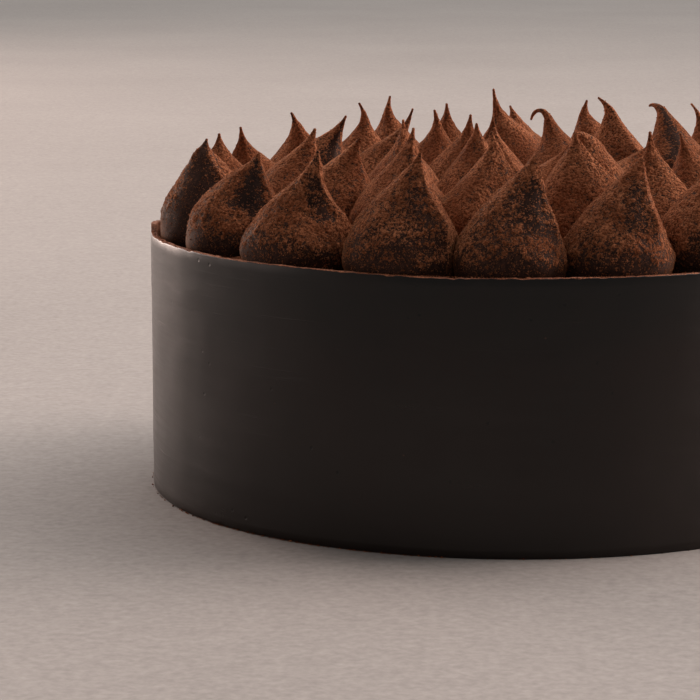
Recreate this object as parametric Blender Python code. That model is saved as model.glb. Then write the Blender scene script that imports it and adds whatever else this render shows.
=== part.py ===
"""Whole mille crepe cake in a tall band of dark chocolate, its top piped all over with ganache peaks.

Metres, +Z up. The origin is the centre of the cake's underside, and -Y is the side that is looked at.
The uncut cake is a solid cylinder with a gently domed top. The band is a thin ring that stands a little
above the cake's edge. The peaks stand in rings, and most of their tips are drawn the same way round,
as they come off the nozzle on a turned table.
"""

import math
import random
from dataclasses import dataclass

import bmesh
import bpy
from mathutils import Vector

# Driving dimensions
BAND_DIAMETER = 0.200
BAND_HEIGHT = 0.072
BAND_WALL = 0.0018
BAND_EDGE = 0.0003  # chamfer along the band's cut edges
RECESS = 0.005  # from the band's rim down to the edge of the cake's top
DOME = 0.0045  # how far the cake's top rises from its edge to its middle
CAKE_SHOULDER = 0.0025  # rounding of the cake's top edge
SHOULDER_STEPS = 4
GAP = 0.0003  # between pieces that touch
TURNED_SEGMENTS = 96
DOME_STEPS = 5

UP = Vector((0, 0, 1))
CAKE_RADIUS = BAND_DIAMETER / 2 - BAND_WALL - GAP
EDGE_HEIGHT = BAND_HEIGHT - RECESS

# Radius of each ring of peaks
RINGS = {"outer": 0.0835, "second": 0.0595, "third": 0.0370, "inner": 0.0140}

# A usual peak, and how far the others differ from it to either side
PEAK_LENGTH, LENGTH_SPREAD = 0.0345, 0.0012
PEAK_RADIUS, RADIUS_SPREAD = 0.0152, 0.0005
PEAK_LEAN, LEAN_SPREAD = 24.0, 8.0  # degrees
PEAK_DRAW, DRAW_SPREAD = 2.08, 0.15  # 1 is a dome, 2 is a hollow-sided spike
PEAK_SEED = 11

# Shape of every peak, as shares of its length or of its radius
FOOT_WIDTH = 0.88
BULGE_AT = 0.17
LEAN_FROM, LEAN_TO = 0.22, 0.58
BOW_FROM = 0.74
FLANK_ROUNDING = 0.06  # how softly a straight flank starts from the bulge
TIP_WIDTH = 0.03
PEAK_SIDES = 12
PEAK_LEVELS = (0.0, 0.06, 0.18, 0.32, 0.45, 0.58, 0.70, 0.82, 0.93)
AXIS_STEPS = 50
NEIGHBOUR_REACH = 3 * PEAK_RADIUS  # peaks whose middles are further apart never touch

# Every peak, with what it has of its own. Angles are in degrees: bearing is its place in the ring, turn
# is off the way round that the others lean, and bow is how far the tip droops further. Straight is how
# nearly its flank is that of a plain cone.
PEAKS = {
    "outer_01": {
        "bearing": -89, "length": 0.0338, "radius": 0.0155, "draw": 3.00,
        "straight": 0.75, "lean": 19, "bow": -2,
    },
    "outer_02": {"bearing": -70, "length": 0.0328, "draw": 2.10, "straight": 0.80, "lean": 21},
    "outer_03": {"bearing": -50},
    "outer_04": {"bearing": -30, "bow": 12},
    "outer_05": {"bearing": -10, "bow": -8},
    "outer_06": {"bearing": 9},
    "outer_07": {"bearing": 26, "bow": 15},
    "outer_08": {"bearing": 43, "length": 0.0357, "draw": 2.73, "lean": 14, "bow": 39},
    "outer_09": {"bearing": 70, "length": 0.0339, "draw": 1.88, "lean": 18, "bow": -36},
    "outer_10": {"bearing": 86, "length": 0.0316, "draw": 1.78, "lean": 12, "bow": 10},
    "outer_11": {"bearing": 114, "length": 0.0347, "draw": 2.28, "lean": 9, "bow": -21},
    "outer_12": {"bearing": 136, "length": 0.0323, "draw": 2.33, "lean": 16, "bow": 18},
    "outer_13": {"bearing": 154, "length": 0.0298, "draw": 2.33, "lean": 22, "bow": -9},
    "outer_14": {"bearing": 170, "length": 0.0285, "draw": 1.83, "lean": 2},
    "outer_15": {
        "bearing": -168, "length": 0.0302, "radius": 0.0147, "draw": 1.35,
        "lean": 8, "turn": -76, "bow": -23,
    },
    "outer_16": {
        "bearing": -150, "length": 0.0300, "radius": 0.0142, "draw": 1.28,
        "lean": 24, "turn": 45, "bow": -11,
    },
    "outer_17": {
        "bearing": -130, "length": 0.0333, "radius": 0.0155, "draw": 2.90,
        "straight": 0.45, "lean": 23, "bow": -12,
    },
    "outer_18": {
        "bearing": -108, "length": 0.0335, "radius": 0.0160, "draw": 1.70,
        "straight": 0.30, "lean": 14, "bow": -4,
    },
    "second_01": {"bearing": -95, "length": 0.0351, "draw": 1.90, "lean": 8, "bow": -20},
    "second_02": {"bearing": -71, "length": 0.0343, "draw": 1.40, "lean": 3, "turn": 180},
    "second_03": {"bearing": -49, "length": 0.0338, "draw": 2.23, "lean": 2, "turn": 140},
    "second_04": {"bearing": -27, "length": 0.0324, "draw": 1.83, "lean": 17, "turn": 110},
    "second_05": {"bearing": 3, "bow": 10},
    "second_06": {"bearing": 32, "length": 0.0399, "draw": 2.33, "lean": 23, "turn": 10, "bow": 81},
    "second_07": {"bearing": 56, "length": 0.0365, "draw": 2.13, "lean": 8, "turn": 10, "bow": 50},
    "second_08": {"bearing": 87, "length": 0.0376, "draw": 2.33, "lean": 21, "bow": -15},
    "second_09": {"bearing": 107, "length": 0.0323, "draw": 2.08, "lean": 1},
    "second_10": {"bearing": 135, "length": 0.0343, "draw": 2.63, "lean": -3, "bow": 43},
    "second_11": {"bearing": 160, "length": 0.0348, "draw": 2.13, "lean": 32, "turn": 90, "bow": -1},
    "second_12": {"bearing": -171, "length": 0.0315, "draw": 1.88, "lean": 18, "turn": 80},
    "second_13": {"bearing": -140, "length": 0.0327, "draw": 1.78, "lean": 20, "turn": 25, "bow": 15},
    "second_14": {"bearing": -117, "length": 0.0355, "draw": 1.88, "lean": 9},
    "third_01": {"bearing": -101, "length": 0.0339, "draw": 1.63, "lean": -2},
    "third_02": {
        "bearing": -49, "length": 0.0338, "radius": 0.0138, "draw": 1.28,
        "lean": 13, "turn": 180, "bow": 59,
    },
    "third_03": {"bearing": -12, "length": 0.0236, "draw": 1.78, "lean": 22, "turn": -60},
    "third_04": {"bearing": 24, "length": 0.0250, "draw": 1.78, "lean": 32, "turn": -95},
    "third_05": {"bearing": 64, "length": 0.0377, "draw": 3.23, "lean": 17, "bow": 151},
    "third_06": {"bearing": 97, "length": 0.0292, "draw": 2.08, "lean": 3, "turn": 180},
    "third_07": {"bearing": 122, "length": 0.0317, "draw": 2.43, "lean": 1, "bow": 16},
    "third_08": {"bearing": 166, "length": 0.0363, "draw": 2.80, "lean": 30, "turn": 90, "bow": -12},
    "third_09": {"bearing": -139, "length": 0.0337, "draw": 2.13, "lean": 0},
    "inner_01": {"bearing": -100, "length": 0.0301, "draw": 1.43, "lean": -2},
    "inner_02": {"bearing": 20, "length": 0.0243, "draw": 1.78, "lean": 20, "turn": -110},
    "inner_03": {"bearing": 140, "length": 0.0316, "draw": 2.18, "lean": -4},
}


@dataclass
class Peak:
    """One piped peak: where its foot's middle is, and its shape."""

    name: str
    ring_radius: float
    bearing: float
    length: float
    radius: float
    lean: float
    draw: float
    straight: float = 0
    turn: float = 0
    bow: float = 0

    @property
    def place(self):
        """The middle of its foot, seen from above."""
        return toward(self.bearing) * self.ring_radius


def toward(bearing):
    """The level direction that has this bearing."""
    return Vector((math.cos(math.radians(bearing)), math.sin(math.radians(bearing)), 0))


def cake_top(spot):
    """Height of the cake's domed top at this spot."""
    return EDGE_HEIGHT + DOME * (1 - (math.hypot(spot.x, spot.y) / CAKE_RADIUS) ** 2)


def smooth(low, high, value):
    """0 below low, 1 above high, and an even S between them."""
    share = min(1.0, max(0.0, (value - low) / (high - low)))
    return share * share * (3 - 2 * share)


def all_peaks():
    """Every peak, each a little different from the next."""
    draw_lots = random.Random(PEAK_SEED)

    def about(usual, spread):
        return usual + spread * draw_lots.uniform(-1, 1)

    peaks = []
    for name, own in PEAKS.items():
        usual = {
            "length": about(PEAK_LENGTH, LENGTH_SPREAD),
            "radius": about(PEAK_RADIUS, RADIUS_SPREAD),
            "lean": about(PEAK_LEAN, LEAN_SPREAD),
            "draw": about(PEAK_DRAW, DRAW_SPREAD),
        }
        ring = name.split("_")[0]
        peaks.append(Peak(name, RINGS[ring], **{**usual, **own}))
    return peaks


def flank(peak, share):
    """The peak's radius at this share of its length: a round foot, a full bulge and a drawn-out tip."""
    if share < BULGE_AT:
        return peak.radius * (FOOT_WIDTH + (1 - FOOT_WIDTH) * math.sin(math.pi / 2 * share / BULGE_AT))
    up = (share - BULGE_AT) / (1 - BULGE_AT)
    drawn_out = math.cos(math.pi / 2 * up) ** peak.draw
    narrowed = math.hypot(up, FLANK_ROUNDING) - FLANK_ROUNDING
    cone = 1 - narrowed / (math.hypot(1, FLANK_ROUNDING) - FLANK_ROUNDING)
    width = drawn_out + (cone - drawn_out) * peak.straight
    return peak.radius * (width * (1 - TIP_WIDTH) + TIP_WIDTH)


def axis_of(peak):
    """The direction the peak leans in, and the points along its middle with their tilts, foot to tip."""
    sideways = toward(peak.bearing + 90 + peak.turn)
    point = peak.place + Vector((0, 0, cake_top(peak.place) + GAP))
    axis = []
    for index in range(AXIS_STEPS + 1):
        share = index / AXIS_STEPS
        tilt = peak.lean * smooth(LEAN_FROM, LEAN_TO, share) + peak.bow * smooth(BOW_FROM, 1, share)
        tilt = math.radians(tilt)
        axis.append((point, tilt))
        point = point + (sideways * math.sin(tilt) + UP * math.cos(tilt)) * (peak.length / AXIS_STEPS)
    return sideways, axis


def kept_to_its_place(point, peak, neighbours):
    """The point, set back where a neighbouring peak or the band is in the way."""
    for other in neighbours:
        across = other.place - peak.place
        half = (across.length - GAP) / 2
        across.normalize()
        past = (point - peak.place).dot(across) - half
        if past > 0:
            point = point - across * past
    reach = math.hypot(point.x, point.y)
    if reach > CAKE_RADIUS:
        point = Vector((point.x * CAKE_RADIUS / reach, point.y * CAKE_RADIUS / reach, point.z))
    return point


def peak_mesh(peak, peaks):
    """A closed mesh of rings along the peak's middle, flattened where its neighbours touch it.

    Wide rings stay level, and slender ones turn square to the middle.
    """
    neighbours = [p for p in peaks if p is not peak and (p.place - peak.place).length < NEIGHBOUR_REACH]
    sideways, axis = axis_of(peak)
    across = sideways.cross(UP)
    shape = bmesh.new()
    rings = []
    for share in PEAK_LEVELS:
        centre, tilt = axis[round(share * AXIS_STEPS)]
        radius = flank(peak, share)
        tilt *= 1 - radius / peak.radius
        forward = sideways * math.cos(tilt) - UP * math.sin(tilt)
        ring = []
        for side in range(PEAK_SIDES):
            turn = 2 * math.pi * side / PEAK_SIDES
            spot = centre + (forward * math.cos(turn) + across * math.sin(turn)) * radius
            spot = kept_to_its_place(spot, peak, neighbours)
            if share == 0:
                spot.z = cake_top(spot) + GAP
            ring.append(shape.verts.new(spot))
        rings.append(ring)
    foot = shape.verts.new(axis[0][0])
    tip = shape.verts.new(kept_to_its_place(axis[-1][0], peak, neighbours))
    for lower, upper in zip(rings, rings[1:]):
        for side in range(PEAK_SIDES):
            after = (side + 1) % PEAK_SIDES
            shape.faces.new((lower[side], upper[side], upper[after], lower[after]))
    for side in range(PEAK_SIDES):
        after = (side + 1) % PEAK_SIDES
        shape.faces.new((rings[0][side], rings[0][after], foot))
        shape.faces.new((rings[-1][after], rings[-1][side], tip))
    return shape


def turned_mesh(profile, closed):
    """The profile of (radius, height) points turned about Z. An open one starts and ends on the axis."""
    shape = bmesh.new()
    rings = []
    for radius, height in profile:
        ring = []
        for segment in range(TURNED_SEGMENTS):
            turn = 2 * math.pi * segment / TURNED_SEGMENTS
            ring.append(shape.verts.new((radius * math.cos(turn), radius * math.sin(turn), height)))
        rings.append(ring)
    pairs = list(zip(rings, rings[1:]))
    if closed:
        pairs.append((rings[-1], rings[0]))
    for lower, upper in pairs:
        for segment in range(TURNED_SEGMENTS):
            after = (segment + 1) % TURNED_SEGMENTS
            shape.faces.new((lower[segment], lower[after], upper[after], upper[segment]))
    if not closed:
        shape.faces.new(rings[0])
        shape.faces.new(rings[-1])
    return shape


def band_mesh():
    """The chocolate band: a thin ring with its cut edges just broken."""
    outside, inside = BAND_DIAMETER / 2, BAND_DIAMETER / 2 - BAND_WALL
    return turned_mesh(
        [
            (inside + BAND_EDGE, 0),
            (outside - BAND_EDGE, 0),
            (outside, BAND_EDGE),
            (outside, BAND_HEIGHT - BAND_EDGE),
            (outside - BAND_EDGE, BAND_HEIGHT),
            (inside + BAND_EDGE, BAND_HEIGHT),
            (inside, BAND_HEIGHT - BAND_EDGE),
            (inside, BAND_EDGE),
        ],
        closed=True,
    )


def cake_mesh():
    """The uncut cake: a solid cylinder, its top edge rounded and its top domed."""
    profile = [(CAKE_RADIUS, 0)]
    flat = Vector((CAKE_RADIUS - CAKE_SHOULDER, 0, 0))
    for step in range(SHOULDER_STEPS):
        turn = math.pi / 2 * step / SHOULDER_STEPS
        drop = CAKE_SHOULDER * (1 - math.sin(turn))
        profile.append((flat.x + CAKE_SHOULDER * math.cos(turn), cake_top(flat) - drop))
    for step in range(DOME_STEPS):
        spot = flat * (1 - step / DOME_STEPS)
        profile.append((spot.x, cake_top(spot)))
    return turned_mesh(profile, closed=False)


def finish_of(name, colour, roughness):
    """A plain finish."""
    finish = bpy.data.materials.new(name)
    finish.use_nodes = True
    shader = finish.node_tree.nodes["Principled BSDF"]
    shader.inputs["Base Color"].default_value = (*colour, 1)
    shader.inputs["Roughness"].default_value = roughness
    shader.inputs["Metallic"].default_value = 0
    return finish


def add_piece(name, shape, finish, sharp_angle, parent):
    """An object of this shape, its faces turned out, smooth but for edges sharper than the angle."""
    bmesh.ops.recalc_face_normals(shape, faces=shape.faces)
    mesh = bpy.data.meshes.new(name)
    shape.to_mesh(mesh)
    shape.free()
    mesh.shade_smooth()
    mesh.set_sharp_from_angle(angle=math.radians(sharp_angle))
    mesh.materials.append(finish)
    piece = bpy.data.objects.new(name, mesh)
    piece.parent = parent
    bpy.context.scene.collection.objects.link(piece)
    return piece


def build():
    """The band, the cake in it and every peak on it."""
    for old in list(bpy.data.objects):
        bpy.data.objects.remove(old)
    whole = bpy.data.objects.new("whole_cake", None)
    bpy.context.scene.collection.objects.link(whole)

    chocolate = finish_of("dark_chocolate", (0.012, 0.008, 0.007), 0.42)
    crumb = finish_of("cocoa_crumb", (0.060, 0.026, 0.014), 0.85)
    ganache = finish_of("cocoa_dusted_ganache", (0.105, 0.040, 0.019), 0.90)

    add_piece("chocolate_band", band_mesh(), chocolate, 30, whole)
    add_piece("cake", cake_mesh(), crumb, 50, whole)
    peaks = all_peaks()
    for peak in peaks:
        add_piece(f"peak_{peak.name}", peak_mesh(peak, peaks), ganache, 70, whole)


build()
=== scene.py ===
"""A whole mille crepe cake in a tall band of dark chocolate, its top piped with cocoa-dusted ganache peaks.

Metres, +Z up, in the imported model's own frame. The origin is the middle of the cake's underside, and the
camera looks from the -Y side. The piping follows the same rings and the same values as the solid model.
"""

import math
import random
from dataclasses import dataclass

import bpy
import numpy as np
from mathutils import Matrix, Vector


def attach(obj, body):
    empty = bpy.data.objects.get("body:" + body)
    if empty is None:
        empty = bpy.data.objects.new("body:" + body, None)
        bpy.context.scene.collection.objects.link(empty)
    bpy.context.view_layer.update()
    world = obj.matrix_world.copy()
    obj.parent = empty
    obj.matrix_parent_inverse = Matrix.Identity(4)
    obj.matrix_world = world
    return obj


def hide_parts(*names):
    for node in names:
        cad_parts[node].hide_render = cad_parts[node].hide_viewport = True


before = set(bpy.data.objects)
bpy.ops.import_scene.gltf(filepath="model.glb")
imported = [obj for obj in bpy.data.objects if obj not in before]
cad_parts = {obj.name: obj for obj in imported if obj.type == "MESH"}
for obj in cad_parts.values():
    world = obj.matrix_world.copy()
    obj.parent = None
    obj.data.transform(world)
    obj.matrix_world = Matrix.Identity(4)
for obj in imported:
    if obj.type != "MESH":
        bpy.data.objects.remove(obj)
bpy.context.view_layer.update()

# -------- sizes of the solid model
BAND_DIAMETER = 0.200
BAND_HEIGHT = 0.072
BAND_WALL = 0.0018
RECESS = 0.005
DOME = 0.0045
GAP = 0.0003
CAKE_RADIUS = BAND_DIAMETER / 2 - BAND_WALL - GAP
EDGE_HEIGHT = BAND_HEIGHT - RECESS
RINGS = {"outer": 0.0835, "second": 0.0595, "third": 0.0370, "inner": 0.0140}
PEAK_LENGTH, LENGTH_SPREAD = 0.0345, 0.0012
PEAK_RADIUS, RADIUS_SPREAD = 0.0152, 0.0005
PEAK_LEAN, LEAN_SPREAD = 24.0, 8.0
PEAK_DRAW, DRAW_SPREAD = 2.08, 0.15
PEAK_SEED = 11
FOOT_WIDTH = 0.88
BULGE_AT = 0.17
LEAN_FROM, LEAN_TO = 0.22, 0.58
BOW_FROM = 0.74
FLANK_ROUNDING = 0.06  # how softly a straight flank starts from the bulge
TIP_WIDTH = 0.03
AXIS_STEPS = 50
PEAKS = {
    "outer_01": dict(bearing=-89, length=0.0338, radius=0.0155, draw=3.00, straight=0.75, lean=19, bow=-2),
    "outer_02": dict(bearing=-70, length=0.0328, draw=2.10, straight=0.80, lean=21),
    "outer_03": dict(bearing=-50),
    "outer_04": dict(bearing=-30, bow=12),
    "outer_05": dict(bearing=-10, bow=-8),
    "outer_06": dict(bearing=9),
    "outer_07": dict(bearing=26, bow=15),
    "outer_08": dict(bearing=43, length=0.0357, draw=2.73, lean=14, bow=39),
    "outer_09": dict(bearing=70, length=0.0339, draw=1.88, lean=18, bow=-36),
    "outer_10": dict(bearing=86, length=0.0316, draw=1.78, lean=12, bow=10),
    "outer_11": dict(bearing=114, length=0.0347, draw=2.28, lean=9, bow=-21),
    "outer_12": dict(bearing=136, length=0.0323, draw=2.33, lean=16, bow=18),
    "outer_13": dict(bearing=154, length=0.0298, draw=2.33, lean=22, bow=-9),
    "outer_14": dict(bearing=170, length=0.0285, draw=1.83, lean=2),
    "outer_15": dict(bearing=-168, length=0.0302, radius=0.0147, draw=1.35, lean=8, turn=-76, bow=-23),
    "outer_16": dict(bearing=-150, length=0.0300, radius=0.0142, draw=1.28, lean=24, turn=45, bow=-11),
    "outer_17": dict(bearing=-130, length=0.0333, radius=0.0155, draw=2.90, straight=0.45, lean=23, bow=-12),
    "outer_18": dict(bearing=-108, length=0.0335, radius=0.0160, draw=1.70, straight=0.30, lean=14, bow=-4),
    "second_01": dict(bearing=-95, length=0.0351, draw=1.90, lean=8, bow=-20),
    "second_02": dict(bearing=-71, length=0.0343, draw=1.40, lean=3, turn=180),
    "second_03": dict(bearing=-49, length=0.0338, draw=2.23, lean=2, turn=140),
    "second_04": dict(bearing=-27, length=0.0324, draw=1.83, lean=17, turn=110),
    "second_05": dict(bearing=3, bow=10),
    "second_06": dict(bearing=32, length=0.0399, draw=2.33, lean=23, turn=10, bow=81),
    "second_07": dict(bearing=56, length=0.0365, draw=2.13, lean=8, turn=10, bow=50),
    "second_08": dict(bearing=87, length=0.0376, draw=2.33, lean=21, bow=-15),
    "second_09": dict(bearing=107, length=0.0323, draw=2.08, lean=1),
    "second_10": dict(bearing=135, length=0.0343, draw=2.63, lean=-3, bow=43),
    "second_11": dict(bearing=160, length=0.0348, draw=2.13, lean=32, turn=90, bow=-1),
    "second_12": dict(bearing=-171, length=0.0315, draw=1.88, lean=18, turn=80),
    "second_13": dict(bearing=-140, length=0.0327, draw=1.78, lean=20, turn=25, bow=15),
    "second_14": dict(bearing=-117, length=0.0355, draw=1.88, lean=9),
    "third_01": dict(bearing=-101, length=0.0339, draw=1.63, lean=-2),
    "third_02": dict(bearing=-49, length=0.0338, radius=0.0138, draw=1.28, lean=13, turn=180, bow=59),
    "third_03": dict(bearing=-12, length=0.0236, draw=1.78, lean=22, turn=-60),
    "third_04": dict(bearing=24, length=0.0250, draw=1.78, lean=32, turn=-95),
    "third_05": dict(bearing=64, length=0.0377, draw=3.23, lean=17, bow=151),
    "third_06": dict(bearing=97, length=0.0292, draw=2.08, lean=3, turn=180),
    "third_07": dict(bearing=122, length=0.0317, draw=2.43, lean=1, bow=16),
    "third_08": dict(bearing=166, length=0.0363, draw=2.80, lean=30, turn=90, bow=-12),
    "third_09": dict(bearing=-139, length=0.0337, draw=2.13, lean=0),
    "inner_01": dict(bearing=-100, length=0.0301, draw=1.43, lean=-2),
    "inner_02": dict(bearing=20, length=0.0243, draw=1.78, lean=20, turn=-110),
    "inner_03": dict(bearing=140, length=0.0316, draw=2.18, lean=-4),
}

# -------- how the peaks were piped
# Each noise from here on: its depth, the size of its lumps in metres, its seed and how fine it goes
FRONT_PEAKS = ("outer_15", "outer_16", "outer_17", "outer_18", "outer_01", "outer_02", "outer_03")
NEAR_PEAKS = (
    "second_12", "second_13", "second_14", "second_01", "second_02", "second_03", "second_04",
    "third_09", "third_01", "third_02", "inner_01", "inner_03",
)
# Sides and levels of the meshes
FRONT_MESH, NEAR_MESH, FAR_MESH = (208, 88), (120, 54), (80, 36)
LEVEL_SPACING = 0.9  # under 1, so the levels stand closer together toward the tip
LAST_LEVEL = 0.992  # the share of the length where the last level stands, just under the tip
NEIGHBOUR_REACH = 3 * PEAK_RADIUS  # peaks whose middles are further apart never touch
HELD_RADIUS = CAKE_RADIUS - 0.0001  # how far out the piping comes, just clear of the band
GRAINS_HELD_RADIUS = CAKE_RADIUS - 0.0002
FOOT_SUNK = 0.0005  # how far the piping presses into the cocoa under it
CREASE = 0.0005  # how softly two peaks meet
PRESS = 0.0006  # how softly a peak is rounded off where it leans on the band
TIP_FINER, TIP_FINER_FROM = 0.25, 0.84  # how much finer the very tips are than the solid model's
LUMPS = (0.00035, 0.0085, 3, 2)  # gentle unevenness of the piping

# The line that the nozzle leaves up each peak: its bearing low down and at the tip, and how far it stands out
RIDGES = {
    "outer_01": (-30, -34, 0.28),
    "outer_02": (-42, -58, 0.26),
    "outer_03": (-36, -50, 0.26),
    "outer_18": (-43, -62, 0.28),
    "outer_17": (-18, -62, 0.30),
    "outer_16": (-36, -54, 0.30),
    "outer_15": (-52, -64, 0.14),
    "second_01": (-18, -4, 0.26),
    "second_02": (-34, -24, 0.24),
    "second_03": (-32, -5, 0.24),
    "second_07": (-56, -60, 0.24),
    "second_13": (-58, -30, 0.24),
}
# On the other peaks: how far it is off the way they lean, how far it swings on to the tip, and its height
RIDGE_OFF_LEAN, RIDGE_SWING, RIDGE_USUAL = -42, -8, 0.20
RIDGE_GROWS, RIDGE_SWINGS = (0.22, 0.62), (0.45, 0.95)  # the shares of the peak's length where it does so
RIDGE_WIDTH, CREST_WIDTH = 54.0, 15.0  # degrees to each side of its line, and of its thin crest
RIDGE_POWER, CREST_POWER = 1.5, 1.3  # how sharply each of them rises
CREST_HEIGHT = 0.30
HOLLOW_DEPTH, HOLLOW_OFF, HOLLOW_WIDTH = 0.36, math.radians(60), 0.42  # the hollow to each side of it

# -------- how the cocoa lies
CRUST, CLUMP_HEIGHT, SPECK_HEIGHT = 0.00010, 0.00016, 0.00008  # how thick it lies where it covers
CLUMPS, SPECKS, PATCHES = (1, 0.0012, 7), (1, 0.00080, 9), (0.10, 0.0060, 5, 2)
# How much thicker it lies on its clumps and specks, and the cover at which they start and are whole
CLUMP_COVER, SPECK_COVER, CLUMPS_START = 0.16, 0.20, (0.0, 0.25)
THICK_ENOUGH = (0.34, 0.80)  # the cover at which a crust starts, and at which it is whole
HOLLOW_CLUMPS = -0.4  # as deep as the gaps between the clumps go
FAR_COARSENESS = 0.55  # of the clumps on the peaks that aren't in front
TIP_CRUST, TIP_CRUST_FROM = 0.10, 0.90  # what is left of the crust at the slender tip
FALLS = np.array([0.14, 0.0, 0.85])  # where it falls from
FALLS_INWARD, INWARD_FROM, INWARD_TO = 0.40, 0.02, 0.085  # and how much of it from over the middle
BARE, COVERED = -0.78, 0.56
INNER_COVER = {"outer": 0.0, "second": 0.42, "third": 0.50, "inner": 0.50}
TIP_COVER, TIP_COVERED = 0.30, (0.62, 0.92)
# How much less there is round the foot of the outer peaks, up to where, and how raggedly it ends
FOOT_BARE, FOOT_ENDS, FOOT_RAGGED = 0.36, (0.02, 0.36), 0.40
# How much less there is just left of each ridge, partly bare ganache and partly painted shade on the face
# away from the light, where that is in degrees off it, and from where up to where
SHADE_SIDE_BARE, SHADE_SIDE_OFF, SHADE_SIDE_WIDTH, SHADE_SIDE_STARTS, SHADE_SIDE_ENDS = 0.68, -30, 24, (0.30, 0.50), (0.88, 0.72)
SHADE_SIDE_EVEN, SHADE_SIDE_RAGGED = 0.8, 2.0
SHADE_SIDE_INSIDE = 0.3  # how much of that is left on the inner peaks
FACET_COVER, FACET_STARTS, FACET_ENDS = 0.45, (0, 6), (70, 50)  # the facet to the right of each ridge
CREST_COVER, CREST_COVER_WIDTH = 0.55, 7
# How much more of what is left bare gets covered on the sides that face left, how far left, and from where
# up: partly cocoa, partly a painted rim light along the peaks' left outlines
LEFT_COVER_AND_RIM_LIGHT, LEFT_COVER_SIDES, LEFT_COVER_FROM = 0.60, (0.50, 0.92), (0.16, 0.42)
LEAST_FILM = 0.55
# Places that the cocoa missed: the bearing on the peak, half width, from and to which share of its height,
# how bare of clumps and how bare of the thin film
BARE_PATCHES = {
    "outer_01": ((-70, 20, 0.46, 0.76, 0.35, 0.3), (-95, 70, 0.0, 0.75, 0.34, 0.0)),
    "outer_16": ((-82, 26, 0.52, 0.92, 0.97, 0.75), (-130, 45, 0.0, 0.16, 0.5, 0.0)),
    "outer_15": ((-104, 42, 0.0, 0.95, 1.0, 0.1), (-150, 34, 0.0, 0.30, 0.6, 0.0)),
    "second_06": ((-82, 26, 0.30, 0.90, 0.9, 0.3),),
    "second_11": ((-70, 40, 0.40, 0.95, 0.8, 0.3),),
}
BARE_PATCH_FADE = 0.1
# Heaps of cocoa between the front peaks' feet: bearing, how far from the middle, height and width
DRIFTS = ((-141.0, 0.0918, 0.0038, 0.0052), (-118.8, 0.0925, 0.0037, 0.0062), (-80, 0.0925, 0.0032, 0.0050))
DRIFT_RAGGED = (0.35, 0.0020, 33, 2)

# -------- the band and the cake's top
BAND_SEGMENTS, OUTSIDE_LEVELS, INSIDE_LEVELS = 400, 34, 14
BAND_EDGE, INSIDE_EDGE = 0.00030, 0.00040  # rounding of the band's foot and rim, outside and inside
RIM_FLAT = (0.35e-3, 0.60e-3, 0.90e-3, 1.20e-3, 1.50e-3)  # the rim's flat, measured in from the outside
OUTER_CORNER, INNER_CORNER, CORNER_DROP = 0.06e-3, 0.08e-3, 0.12e-3
INSIDE_STARTS = 0.6  # the share of the wall beyond which the rim counts as the inside
# Long gentle waves of the poured strip, then the ups and downs of its rim and the small nicks in it
WAVES, WAVES_DRAWN_OUT, RIPPLES = (0.00016, 0.030, 21), np.array([1, 1, 0.7]), (0.00005, 0.009, 22)
SWAY, RIM_BUMPS = (0.00022, 0.035, 25), (0.00008, 0.0009, 26, 2)
NICKS, NICK_DEPTH, NICKED_FROM = (1, 0.0022, 24, 2), 0.00028, 0.55
STRIP_END, STRIP_END_RISE = 187.0, 0.0019  # where the strip's end stands up a little over its start
STRIP_END_GROWS, STRIP_END_STOPS = 16, 1.2  # over how many degrees it comes up and goes down again
# How far below the rim's top each of these starts, and how far below it is whole
RIM_UNEVEN, STRIP_END_DEPTH = (1.2e-3, 0.1e-3), (12e-3, 0)
RIM_DUSTED, INSIDE_DUSTED = (0.16e-3, 0.02e-3), (9e-3, 0)
RIM_COVER, RIM_PATCHES = 1.25, (0.30, 0.0022, 27, 2)
INSIDE_COVER, STREAKS = 0.70, (0.20, 0.006, 28, 2)
CAKE_SEGMENTS, CAKE_SIDE_HEIGHTS = 260, (0.0005, 0.03, 0.055)
CAKE_SHOULDER, SHOULDER_LEVELS = 0.0025, 8
TOP_FROM, TOP_TO, TOP_LEVELS = 0.0008, 0.0015, 62  # in from the shoulder, and out from the middle
CRUMBLY, CRUMBLY_SUNK = (0.00025, 0.0028, 31, 3), 0.0001
ROUGH_FROM = 0.004  # how far below the edge of its top the cake starts to be rough
TOP_COVER, TOP_PATCHES, MIDDLE_COVER = 0.85, (0.3, 0.004, 34, 2), 0.9

# -------- loose grains
GRAIN_SEED = 23
# For each kind how many there are, the smallest, how much larger they come, and how that is spread
FRONT_GRAINS, REST_GRAINS = 16000, 17000
PEAK_GRAIN_SIZES = (0.00018, 0.00040, 1.3, 4.5)
RIM_CRUMBS, RIM_CRUMB_SIZES = 3600, (0.00016, 0.00036, 1.2, 4.5)
FOOT_CRUMBS, FOOT_CRUMB_SIZES = 420, (0.00020, 0.00080, 1.1, 5.0)
GRAIN_STRETCH, GRAIN_CORNERS = (0.65, 1.25), (0.75, 1.2)
GRAINS_ANYWHERE, GRAINS_ON_COCOA, GRAINS_SUNK_IN = 0.10, 1.30, 0.85  # how crowded they are on the peaks
RIM_CRUMBS_INWARD = (0.0002, 0.0017)
LEFT_SHARE, LEFT_BEARINGS = 0.6, (-152, -98)  # how many of the crumbs at the foot lie at the front left
FOOT_CRUMBS_SPREAD = 0.0007
GRAINS_SUNK, RIM_CRUMBS_UP, FOOT_CRUMBS_OUT, FOOT_CRUMBS_UP = 0.15, 0.2, 0.3, 0.35  # shares of their size
OCTAHEDRON = np.array([[1, 0, 0], [-1, 0, 0], [0, 1, 0], [0, -1, 0], [0, 0, 1], [0, 0, -1]], dtype=float)
OCTAHEDRON_FACES = np.array(
    [[0, 2, 4], [2, 1, 4], [1, 3, 4], [3, 0, 4], [2, 0, 5], [1, 2, 5], [3, 1, 5], [0, 3, 5]]
)
CORNERS = len(OCTAHEDRON)

UP = np.array([0.0, 0.0, 1.0])
LEVEL = np.array([1, 1, 0])  # keeps what is level of a point and drops its height
TINY = 1e-12


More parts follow.
